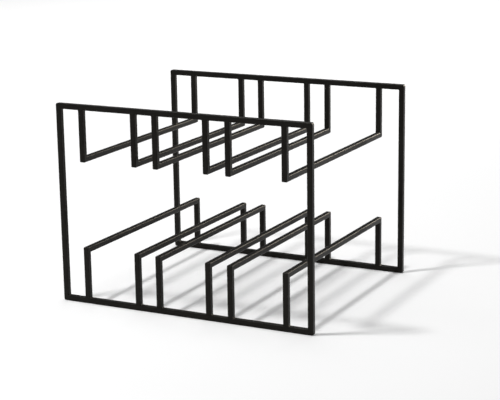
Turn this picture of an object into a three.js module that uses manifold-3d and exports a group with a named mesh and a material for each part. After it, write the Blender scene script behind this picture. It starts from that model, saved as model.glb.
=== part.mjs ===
// Tabletop wine rack, welded from cut lengths of square steel bar and powder coated.
// A front frame and a rear frame stand upright. Six lower runners stand on their
// bottom rails and six upper runners hang from their top rails. Each pair of runners
// makes a bay for one bottle. Millimetres, +Z up, front towards -Y, and the origin
// on the floor under the middle of the rack.

import * as THREE from 'three';
import { mergeVertices } from 'three/addons/utils/BufferGeometryUtils.js';
import Module from 'manifold-3d';

const wasm = await Module();
wasm.setup();

// ---------------------------------------------------------------- driving dimensions

const WIDTH = 300; // over the posts of a frame
const DEPTH = 252; // over the two frames, front to back
const HEIGHT = 219; // floor to the upper face of the top rails

const BAR = 6; // side of the square bar, over its coat
const BAR_EDGE = 0.9; // rounding along the bar's long edges
const FRAME_CORNER = 2; // outer rounding where a frame's bars meet
const RUNNER_CORNER = 1; // outer rounding where a runner's bars meet
const ROOT_GAP = 0.3; // left open between two cut faces, for the weld to fill

const LOWER_TIER = 62.8; // floor to the upper face of the lower runners
const UPPER_DROP = 62.4; // top of the frames to the underside of the upper runners

const SIDE_BAY = 63.7; // runner to runner, on centres, in the two outer bays
const CENTRE_BAY = 59.5; // the same in the middle bay
const BAYS = [SIDE_BAY, CENTRE_BAY, SIDE_BAY]; // left to right
const END_EXTRA = 2; // how much wider the space beside a post is than between bays

const EDGE_STEPS = 3; // facets in the rounding of a bar's edge
const CORNER_STEPS = 4; // facets in one bar's half of an outer corner
const MERGE_DISTANCE = 1e-5; // vertices closer than this are one vertex

const QUARTER_TURN = Math.PI / 2;

// ---------------------------------------------------------------- coated bar

function powderCoat() {
  return new THREE.MeshStandardMaterial({ color: 0x1e1c1a, roughness: 0.48, metalness: 0.1 });
}

function toSolid(geometry) {
  const bare = geometry.clone();
  bare.deleteAttribute('normal');
  bare.deleteAttribute('uv');
  const merged = mergeVertices(bare, MERGE_DISTANCE);
  const vertProperties = new Float32Array(merged.attributes.position.array);
  const triVerts = new Uint32Array(merged.index.array);
  return new wasm.Manifold(new wasm.Mesh({ numProp: 3, vertProperties, triVerts }));
}

function toGeometry(solid) {
  const { vertProperties, triVerts } = solid.getMesh();
  const geometry = new THREE.BufferGeometry();
  geometry.setAttribute('position', new THREE.BufferAttribute(vertProperties, 3));
  geometry.setIndex(new THREE.BufferAttribute(triVerts, 1));
  geometry.computeVertexNormals();
  return geometry;
}

// The bar before it is cut: a square section with rounded corners, along X.
function stockBar(length) {
  const flat = BAR / 2 - BAR_EDGE;
  const centres = [[flat, flat], [-flat, flat], [-flat, -flat], [flat, -flat]];
  const section = new THREE.Shape();
  centres.forEach(([x, y], corner) => {
    const start = corner * QUARTER_TURN;
    section.absarc(x, y, BAR_EDGE, start, start + QUARTER_TURN);
  });
  section.closePath();
  const stock = new THREE.ExtrudeGeometry(section, {
    depth: length,
    curveSegments: EDGE_STEPS,
    bevelEnabled: false,
  });
  stock.translate(0, 0, -length / 2);
  stock.rotateY(QUARTER_TURN);
  return stock;
}

// One end of a bar in side view, as points from the outer face (+Z) to the inner face.
// `reach` is how far the end is from the bar's middle. A square end butts against its
// neighbour. A mitred end is cut at 45 degrees, and its outer corner is ground round.
function endPoints(cut, reach, corner) {
  if (cut === 'square') {
    const x = reach - ROOT_GAP;
    return [[x, BAR / 2], [x, -BAR / 2]];
  }
  const mitreAngle = QUARTER_TURN / 2 + Math.asin(ROOT_GAP / 2 / corner);
  const points = [];
  for (let step = 0; step <= CORNER_STEPS; step += 1) {
    const angle = THREE.MathUtils.lerp(QUARTER_TURN, mitreAngle, step / CORNER_STEPS);
    const x = reach - corner + corner * Math.cos(angle);
    const z = BAR / 2 - corner + corner * Math.sin(angle);
    points.push([x, z]);
  }
  points.push([reach - BAR - ROOT_GAP / Math.SQRT2, -BAR / 2]);
  return points;
}

// A cut length of bar along X, centred, with its outer face towards +Z.
function cutBar(length, leftCut, rightCut, corner) {
  const right = endPoints(rightCut, length / 2, corner);
  const left = endPoints(leftCut, length / 2, corner).map(([x, z]) => [-x, z]);
  const outline = [...right, ...left.reverse()].map(([x, z]) => new THREE.Vector2(x, z));
  const depth = 2 * BAR;
  const side = new THREE.ExtrudeGeometry(new THREE.Shape(outline), { depth, bevelEnabled: false });
  side.translate(0, 0, -depth / 2);
  side.rotateX(QUARTER_TURN);
  return toGeometry(toSolid(stockBar(length)).intersect(toSolid(side)));
}

// Bars laid out together in the XZ plane. Each row is a name, a geometry, the place of
// the bar's middle (x, z), and the turn about Y that faces its outer side outwards.
function layOut(name, rows) {
  const group = new THREE.Group();
  for (const [part, geometry, x, z, turn] of rows) {
    const bar = new THREE.Mesh(geometry, powderCoat());
    bar.name = `${name}_${part}`;
    bar.position.set(x, 0, z);
    bar.rotation.y = turn;
    group.add(bar);
  }
  return group;
}

// ---------------------------------------------------------------- frames

// An upright rectangle, standing on z = 0: two rails and two posts, all mitred.
function buildFrame(name) {
  const rail = cutBar(WIDTH, 'mitre', 'mitre', FRAME_CORNER);
  const post = cutBar(HEIGHT, 'mitre', 'mitre', FRAME_CORNER);
  const side = WIDTH / 2 - BAR / 2;
  return layOut(name, [
    ['top_rail', rail, 0, HEIGHT - BAR / 2, 0],
    ['bottom_rail', rail, 0, BAR / 2, 2 * QUARTER_TURN],
    ['left_post', post, -side, HEIGHT / 2, -QUARTER_TURN],
    ['right_post', post, side, HEIGHT / 2, QUARTER_TURN],
  ]);
}

// ---------------------------------------------------------------- runners

// An arch standing on z = 0, its front to the left: a rail mitred to two upright bars,
// whose square ends butt against the frames' rails.
function buildRunner(name, uprightName, rise) {
  const rail = cutBar(DEPTH, 'mitre', 'mitre', RUNNER_CORNER);
  const front = cutBar(rise, 'square', 'mitre', RUNNER_CORNER);
  const rear = cutBar(rise, 'mitre', 'square', RUNNER_CORNER);
  const end = DEPTH / 2 - BAR / 2;
  const runner = layOut(name, [
    ['rail', rail, 0, rise - BAR / 2, 0],
    [`front_${uprightName}`, front, -end, rise / 2, -QUARTER_TURN],
    [`rear_${uprightName}`, rear, end, rise / 2, QUARTER_TURN],
  ]);
  runner.rotation.z = QUARTER_TURN;
  return runner;
}

// Where the runners' middles are along X. The width that the bays leave is shared out
// between them and beside the posts.
function runnerPlaces() {
  const spare = WIDTH - BAR - BAYS.reduce((sum, bay) => sum + bay, 0);
  const gap = (spare - 2 * END_EXTRA) / (BAYS.length + 1);
  const places = [];
  let x = -WIDTH / 2 + BAR / 2 + gap + END_EXTRA;
  for (const bay of BAYS) {
    places.push(x, x + bay);
    x += bay + gap;
  }
  return places;
}

// ---------------------------------------------------------------- assembly

const rack = new THREE.Group();

const frontFrame = buildFrame('front');
frontFrame.position.y = -DEPTH / 2 + BAR / 2;
const rearFrame = buildFrame('rear');
rearFrame.position.y = DEPTH / 2 - BAR / 2;
rack.add(frontFrame, rearFrame);

runnerPlaces().forEach((x, index) => {
  const standing = buildRunner(`lower_runner_${index + 1}`, 'leg', LOWER_TIER - BAR);
  standing.position.set(x, 0, BAR);

  const hanging = new THREE.Group();
  hanging.add(buildRunner(`upper_runner_${index + 1}`, 'hanger', UPPER_DROP - BAR));
  hanging.rotation.y = 2 * QUARTER_TURN; // the same arch, turned over
  hanging.position.set(x, 0, HEIGHT - BAR);

  rack.add(standing, hanging);
});

export default rack;
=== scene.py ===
import math

import bmesh
import bpy
from mathutils import Matrix, Vector


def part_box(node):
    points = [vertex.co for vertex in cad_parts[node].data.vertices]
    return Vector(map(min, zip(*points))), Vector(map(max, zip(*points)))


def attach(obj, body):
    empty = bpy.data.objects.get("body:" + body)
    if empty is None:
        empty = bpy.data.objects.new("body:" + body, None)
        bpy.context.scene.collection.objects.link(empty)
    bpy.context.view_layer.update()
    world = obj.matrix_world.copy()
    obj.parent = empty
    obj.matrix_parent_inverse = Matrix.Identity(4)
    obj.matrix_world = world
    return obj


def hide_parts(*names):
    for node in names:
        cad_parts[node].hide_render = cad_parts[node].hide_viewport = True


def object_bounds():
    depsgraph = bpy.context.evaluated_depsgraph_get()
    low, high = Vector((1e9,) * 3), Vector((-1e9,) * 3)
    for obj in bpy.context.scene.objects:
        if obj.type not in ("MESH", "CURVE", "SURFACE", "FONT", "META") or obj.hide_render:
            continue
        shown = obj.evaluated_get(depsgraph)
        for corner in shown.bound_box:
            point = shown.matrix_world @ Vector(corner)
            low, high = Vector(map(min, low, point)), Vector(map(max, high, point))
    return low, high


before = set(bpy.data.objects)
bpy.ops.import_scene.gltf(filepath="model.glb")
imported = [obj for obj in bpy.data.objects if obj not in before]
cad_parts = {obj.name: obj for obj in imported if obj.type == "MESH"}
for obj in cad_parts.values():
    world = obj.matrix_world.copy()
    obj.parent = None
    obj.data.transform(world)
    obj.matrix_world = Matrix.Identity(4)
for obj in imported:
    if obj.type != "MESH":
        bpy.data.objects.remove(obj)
cad_box = [list(corner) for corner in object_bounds()]


# ================================================================ front frame
# An upright rectangle of solid square steel bar: two rails and two posts, cut at 45
# degrees, welded at the corners, ground flush, eased round and powder coated black.

MM = 0.001
WIDTH, DEPTH, HEIGHT = (high - low for low, high in zip(*cad_box))
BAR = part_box("front_top_rail")[1].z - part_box("front_top_rail")[0].z
HALF = BAR / 2
EDGE = 0.9 * MM
EDGE_STEPS = 6
FRAME_CORNER = 2.0 * MM
INNER_FILLET = 0.5 * MM
CORNER_STEPS = 8
# Extra rows of points that keep the shading flat: beside a rounding, at a mitre's cut,
# and on the straight bar some way back from its end.
FLAT_HOLD = 0.12 * MM
NEAR_MITRE = math.radians(44.5)
STEADY = 6.0 * MM


def bar_section(half_width=HALF, edge=EDGE):
    """The bar's square section with rounded edges, as points (outward, sideways)."""
    points = []
    for quarter, (out, side) in enumerate([(1, 1), (-1, 1), (-1, -1), (1, -1)]):
        middle = Vector((out * (HALF - edge), side * (half_width - edge)))
        start = quarter * math.pi / 2
        turns = [start + step / EDGE_STEPS * math.pi / 2 for step in range(EDGE_STEPS + 1)]
        arc = [middle + edge * Vector((math.cos(turn), math.sin(turn))) for turn in turns]
        along = Vector((-math.sin(start), math.cos(start)))
        across = Vector((math.cos(start), math.sin(start)))
        points += [arc[0] - FLAT_HOLD * along, *arc, arc[-1] - FLAT_HOLD * across]
    return points


def mitred_end(reach, corner):
    """Rings up to a 45 degree cut, round outside and filled a little inside.

    A ring is its section, its inner and its outer point as (along, outward), and whether
    it is weld, from 0 to 1.
    """
    section = bar_section()
    inner = Vector((reach - BAR - INNER_FILLET, -HALF - INNER_FILLET))
    outer = Vector((reach - corner, HALF - corner))
    rings = []
    for back in (STEADY, FLAT_HOLD):
        rings.append((section, (inner.x - back, -HALF), (outer.x - back, HALF), 0.0))
    turns = [step / CORNER_STEPS * math.pi / 4 for step in range(CORNER_STEPS + 1)]
    turns.insert(-1, NEAR_MITRE)
    for turn in turns:
        round_off = Vector((math.sin(turn), math.cos(turn)))
        rings.append((section, inner + INNER_FILLET * round_off, outer + corner * round_off, 0.0))
    return rings


def bar_mesh(name, start, end, material):
    """A closed bar from two lists of rings, its length along Z and its outer face along X."""
    made = bmesh.new()
    welded = made.verts.layers.float.new("weld")
    mirrored = [(s, Vector((-i[0], i[1])), Vector((-o[0], o[1])), w) for s, i, o, w in start]
    loops = []
    for section, inner, outer, weld in mirrored[::-1] + end:
        loop = []
        for out, side in section:
            place = Vector(inner).lerp(Vector(outer), (out + HALF) / BAR)
            loop.append(made.verts.new((place.y, side, place.x)))
            loop[-1][welded] = weld
        loops.append(loop)
    for low, high in zip(loops, loops[1:]):
        for i in range(len(low)):
            j = (i + 1) % len(low)
            made.faces.new((low[i], low[j], high[j], high[i])).smooth = True
    for cap in (made.faces.new(loops[0][::-1]), made.faces.new(loops[-1])):
        for edge in cap.edges:
            edge.smooth = False
    mesh = bpy.data.meshes.new(name)
    made.to_mesh(mesh)
    made.free()
    mesh.materials.append(material)
    return mesh


def place_bar(node, mesh, middle, outward, along):
    """Puts a bar where its CAD node is, outer face towards outward."""
    bar = bpy.data.objects.new("coated_" + node, mesh)
    bpy.context.scene.collection.objects.link(bar)
    x, z = Vector(outward), Vector(along)
    turn = Matrix((x, z.cross(x), z)).transposed().to_4x4()
    bar.matrix_world = Matrix.Translation(middle) @ turn
    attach(bar, "root")
    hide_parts(node)


class Wire:
    """An output socket of a material's or the world's nodes, for sums written plainly."""

    def __init__(self, tree, socket=None):
        self.tree = tree
        self.socket = socket

    def node(self, kind, settings, sockets, output=0):
        """Adds a node with its settings, fills or links its sockets and gives an output."""
        made = self.tree.nodes.new(kind)
        for name, value in settings.items():
            setattr(made, name, value)
        for name, value in sockets.items():
            if isinstance(value, Wire):
                self.tree.links.new(value.socket, made.inputs[name])
            else:
                made.inputs[name].default_value = value
        return Wire(self.tree, made.outputs[output])

    def maths(self, operation, first, second=0.0):
        return self.node("ShaderNodeMath", {"operation": operation}, {0: first, 1: second})

    def __add__(self, other):
        return self.maths("ADD", self, other)

    def __sub__(self, other):
        return self.maths("SUBTRACT", self, other)

    def __rsub__(self, other):
        return self.maths("SUBTRACT", other, self)

    def __mul__(self, other):
        return self.maths("MULTIPLY", self, other)

    __radd__ = __add__
    __rmul__ = __mul__


BLACK = (0.0078, 0.0072, 0.0064, 1)
GREY = (0.0135, 0.0126, 0.0114, 1)
THIN = (0.030, 0.028, 0.026, 1)
WARM_SHEEN = (1, 0.95, 0.85, 1)
SHEEN = 0.085
GRAIN = 0.28 * MM
SPECKLE = 0.5 * MM
PEEL = 1.7 * MM
SCUFFS = 5 * MM
CLOUDS = 28 * MM
RIPPLE = 0.9 * MM
# Heights in millimetres, the unit of the bump.
PEEL_HEIGHT = 0.03
GRAIN_HEIGHT = 0.012
RIPPLE_HEIGHT = 0.007


def powder_coat(name, rubbed_side):
    """Black satin powder coat: fine grain under a soft orange peel, thinner on the edges.

    The rubbed side is 1 for a bar's outer face, -1 for its inner face and 0 for none.
    """
    coat = bpy.data.materials.new(name)
    coat.use_nodes = True
    tree = coat.node_tree
    shader = tree.nodes["Principled BSDF"]
    wire = Wire(tree)

    def noise(place, size, detail, roughness=0.5):
        sockets = {"Vector": place, "Scale": 1 / size, "Detail": detail, "Roughness": roughness}
        return wire.node("ShaderNodeTexNoise", {}, sockets)

    def ramp(value, low, high):
        settings = {"interpolation_type": "SMOOTHSTEP"}
        sockets = {"Value": value, "From Min": low, "From Max": high}
        return wire.node("ShaderNodeMapRange", settings, sockets)

    def blend(share, first, second):
        # A Mix node's sockets 0, 6 and 7 are its factor and its two colours.
        sockets = {0: share, 6: first, 7: second}
        return wire.node("ShaderNodeMix", {"data_type": "RGBA"}, sockets, output=2)

    world = wire.node("ShaderNodeNewGeometry", {}, {})
    local = wire.node("ShaderNodeTexCoord", {}, {}, output=3)
    out = wire.node("ShaderNodeSeparateXYZ", {}, {0: local}, output=0)
    side = wire.node("ShaderNodeSeparateXYZ", {}, {0: local}, output=1)
    depth = wire.node("ShaderNodeSeparateXYZ", {}, {0: world}, output=1)
    weld = wire.node("ShaderNodeAttribute", {"attribute_name": "weld"}, {}, output=2)

    clouds = noise(world, CLOUDS, 3.0)
    speckle = noise(world, SPECKLE, 2.0)
    peel = noise(world, PEEL, 1.0)
    grain = noise(world, GRAIN, 2.0)
    scuffs = noise(world, SCUFFS, 5.0, 0.65)

    near_edge = wire.maths("MINIMUM", wire.maths("ABSOLUTE", out), wire.maths("ABSOLUTE", side))
    edge = ramp(near_edge, HALF - 1.2 * MM, HALF - 0.35 * MM)
    worn = edge * ramp(scuffs, 0.52, 0.66)
    rubbed = ramp(out * rubbed_side, HALF - 0.9 * MM, HALF - 0.2 * MM)

    colour = blend(ramp(clouds, 0.3, 0.7) * 0.5 + ramp(speckle, 0.35, 0.7) * 0.35, BLACK, GREY)
    tree.links.new(blend(worn * 0.6, colour, THIN).socket, shader.inputs["Base Color"])

    roughness = 0.23 + clouds * 0.07 + speckle * 0.05 - rubbed * 0.04 + worn * 0.08
    tree.links.new(roughness.socket, shader.inputs["Roughness"])
    shader.inputs["Specular IOR Level"].default_value = SHEEN
    shader.inputs["Specular Tint"].default_value = WARM_SHEEN

    # The ripples run across the weld, made uneven by the peel.
    bead = wire.maths("SINE", depth * (2 * math.pi / RIPPLE) + peel * 9.0) * weld
    height = peel * PEEL_HEIGHT + grain * GRAIN_HEIGHT + bead * RIPPLE_HEIGHT
    bump = wire.node("ShaderNodeBump", {}, {"Height": height, "Strength": 1.0, "Distance": MM})
    tree.links.new(bump.socket, shader.inputs["Normal"])
    return coat


frame_coat = powder_coat("black_powder_coat_frames", 0.0)
rail_ends = mitred_end(WIDTH / 2, FRAME_CORNER)
post_ends = mitred_end(HEIGHT / 2, FRAME_CORNER)
rail_mesh = bar_mesh("frame_rail", rail_ends, rail_ends, frame_coat)
post_mesh = bar_mesh("frame_post", post_ends, post_ends, frame_coat)


def place_frame(side, y):
    """Two rails across and two posts, rounded corners outward."""
    x = WIDTH / 2 - HALF
    place_bar(side + "_top_rail", rail_mesh, (0, y, HEIGHT - HALF), (0, 0, 1), (1, 0, 0))
    place_bar(side + "_bottom_rail", rail_mesh, (0, y, HALF), (0, 0, -1), (1, 0, 0))
    place_bar(side + "_left_post", post_mesh, (-x, y, HEIGHT / 2), (-1, 0, 0), (0, 0, 1))
    place_bar(side + "_right_post", post_mesh, (x, y, HEIGHT / 2), (1, 0, 0), (0, 0, 1))


place_frame("front", cad_box[0][1] + HALF)


# ================================================================= rear frame
# The same welded rectangle again, standing a bottle's length behind the first and held
# to it only by the runners.

place_frame("rear", cad_box[1][1] - HALF)


# ============================================================== lower runners
# Six low arches that carry the lower bottles: a rail from front to back with a leg
# mitred to each end. Each leg stands on a bottom rail, fillet welded on both sides.

RUNNER_CORNER = 1.0 * MM
WELD = 0.9 * MM
WELD_STEPS = 6
# The welded end runs on this far inside the rail, and narrows there.
SUNK = 0.6 * MM
SUNK_SPREAD = WELD * 0.4


def welded_end(reach):
    """Rings to a square end that stands on a rail, with its fillet welds built in."""
    rings = []
    for back in (STEADY, WELD + FLAT_HOLD):
        rings.append((bar_section(), (reach - back, -HALF), (reach - back, HALF), 0.0))
    for step in range(WELD_STEPS + 1):
        turn = step / WELD_STEPS * math.pi / 2
        spread = WELD * (1 - math.cos(turn))
        end = reach - WELD * (1 - math.sin(turn))
        rings.append((bar_section(HALF + spread, EDGE + spread), (end, -HALF), (end, HALF), 1.0))
    for sink, spread in ((SUNK / 2, SUNK_SPREAD), (SUNK, 0.0)):
        end = reach + sink
        rings.append((bar_section(HALF + spread, EDGE + spread), (end, -HALF), (end, HALF), 1.0))
    return rings


runner_coat = powder_coat("black_powder_coat_lower_runners", 1.0)
runner_ends = mitred_end(DEPTH / 2, RUNNER_CORNER)
runner_rail = bar_mesh("lower_runner_rail", runner_ends, runner_ends, runner_coat)
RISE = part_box("lower_runner_1_rail")[1].z
leg_reach = (RISE - BAR) / 2
leg_mesh = bar_mesh(
    "runner_leg", welded_end(leg_reach), mitred_end(leg_reach, RUNNER_CORNER), runner_coat
)
RUNNERS = range(1, 7)
END_Y = DEPTH / 2 - HALF


def middle_of(node):
    low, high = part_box(node)
    return (low + high) / 2


for number in RUNNERS:
    name = f"lower_runner_{number}"
    x = middle_of(name + "_rail").x
    place_bar(name + "_rail", runner_rail, (x, 0, RISE - HALF), (0, 0, 1), (0, 1, 0))
    place_bar(name + "_front_leg", leg_mesh, (x, -END_Y, BAR + leg_reach), (0, -1, 0), (0, 0, 1))
    place_bar(name + "_rear_leg", leg_mesh, (x, END_Y, BAR + leg_reach), (0, 1, 0), (0, 0, 1))


# ============================================================== upper runners
# Six more arches, upside down: a rail from front to back hung from the top rails by a
# hanger at each end, mitred below and fillet welded above. They cradle the upper bottles.

cradle_coat = powder_coat("black_powder_coat_upper_runners", -1.0)
cradle_rail = bar_mesh("upper_runner_rail", runner_ends, runner_ends, cradle_coat)
DROP_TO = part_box("upper_runner_1_rail")[0].z
hanger_reach = (HEIGHT - BAR - DROP_TO) / 2
hanger_mesh = bar_mesh(
    "runner_hanger", welded_end(hanger_reach), mitred_end(hanger_reach, RUNNER_CORNER), cradle_coat
)

for number in RUNNERS:
    name = f"upper_runner_{number}"
    x = middle_of(name + "_rail").x
    hang = DROP_TO + hanger_reach
    place_bar(name + "_rail", cradle_rail, (x, 0, DROP_TO + HALF), (0, 0, -1), (0, 1, 0))
    place_bar(name + "_front_hanger", hanger_mesh, (x, -END_Y, hang), (0, -1, 0), (0, 0, -1))
    place_bar(name + "_rear_hanger", hanger_mesh, (x, END_Y, hang), (0, 1, 0), (0, 0, -1))


# ====================================================================== floor
# A wide sheet of matt white paper that the rack stands on. It isn't part of the rack.

FLOOR_SIZE = 60
PAPER = (0.9, 0.9, 0.9, 1)
bpy.ops.mesh.primitive_plane_add(size=FLOOR_SIZE)
floor = bpy.context.object
floor.name = "paper_floor"
paper = bpy.data.materials.new("white_paper")
paper.use_nodes = True
paper_shader = paper.node_tree.nodes["Principled BSDF"]
paper_shader.inputs["Base Color"].default_value = PAPER
paper_shader.inputs["Roughness"].default_value = 0.9
paper_shader.inputs["Specular IOR Level"].default_value = 0.0
floor.data.materials.append(paper)


# ===================================================================== lights
# A small key lamp up on the left casts the shadows, a warm panel behind on the right gives
# the thin bright edges, and a wide one lights the floor behind. A soft dome is over all,
# seen only in reflections and as soft light, and an even pale backdrop is seen behind.

scene = bpy.context.scene
scene.view_settings.view_transform = "Standard"
world = bpy.data.worlds.new("studio")
scene.world = world
world.use_nodes = True
dome = Wire(world.node_tree)
sky = dome.node("ShaderNodeTexCoord", {}, {}, output=0)
rise = dome.node("ShaderNodeSeparateXYZ", {}, {0: sky}, output=2)


def fade(low, high, first, last):
    """The dome's brightness between two heights above the horizon, in degrees."""
    low, high = (math.sin(math.radians(angle)) for angle in (low, high))
    sockets = {0: rise, "From Min": low, "From Max": high, "To Min": first, "To Max": last}
    return dome.node("ShaderNodeMapRange", {"interpolation_type": "SMOOTHSTEP"}, sockets)


BACKDROP = 0.7
overhead = fade(34, 62, 0.07, 1.02)
horizon = fade(2, 6, 0.35, 0.0)
seen = dome.node("ShaderNodeLightPath", {}, {}, output=0)
brightness = seen * BACKDROP + (1 - seen) * (overhead + horizon)
backdrop = world.node_tree.nodes["Background"]
backdrop.inputs["Color"].default_value = (1, 1, 1, 1)
world.node_tree.links.new(brightness.socket, backdrop.inputs["Strength"])


def panel(name, place, aim, size, power, colour=(1, 1, 1)):
    """An area lamp at a place, turned to its aim, that the camera doesn't see."""
    lamp = bpy.data.lights.new(name, "AREA")
    lamp.shape = "RECTANGLE"
    lamp.size, lamp.size_y = size
    lamp.energy = power
    lamp.color = colour
    made = bpy.data.objects.new(name, lamp)
    scene.collection.objects.link(made)
    made.location = place
    made.rotation_euler = (Vector(aim) - Vector(place)).to_track_quat("-Z", "Y").to_euler()
    made.visible_camera = False
    return made


panel("key", place=(-0.42, -0.46, 1.47), aim=(0, 0, 0), size=(0.16, 0.16), power=13)
panel("floor_light", place=(-0.7, 1.9, 2.2), aim=(-0.9, 2.9, 0), size=(3.0, 1.8), power=50)
WARM_WHITE = (1, 0.9, 0.76)
edge_light = panel(
    "edge_light", place=(0.62, 1.5, 0.5), aim=(0, 0, 0.12), size=(0.5, 0.7), power=21, colour=WARM_WHITE
)
edge_light.visible_diffuse = False


# ===================================================================== camera
# A long lens a little above the rack, turned to see its front and right side.

AZIMUTH = math.radians(27.055)
ELEVATION = math.radians(13.622)
ROLL = math.radians(-0.862)
DISTANCE = 1.6963
LENS = 110.5
SENSOR = 36
aim = Vector((16.486, 0, 100.721)) * MM
back = Vector((math.sin(AZIMUTH), -math.cos(AZIMUTH), math.tan(ELEVATION))).normalized()
camera = bpy.data.objects.new("camera", bpy.data.cameras.new("camera"))
scene.collection.objects.link(camera)
camera.data.sensor_width = SENSOR
camera.data.lens = LENS
camera.data.clip_start = 0.05
look = (-back).to_track_quat("-Z", "Y").to_matrix().to_4x4()
stand = Matrix.Translation(aim + back * DISTANCE)
camera.matrix_world = stand @ look @ Matrix.Rotation(ROLL, 4, "Z")
scene.camera = camera
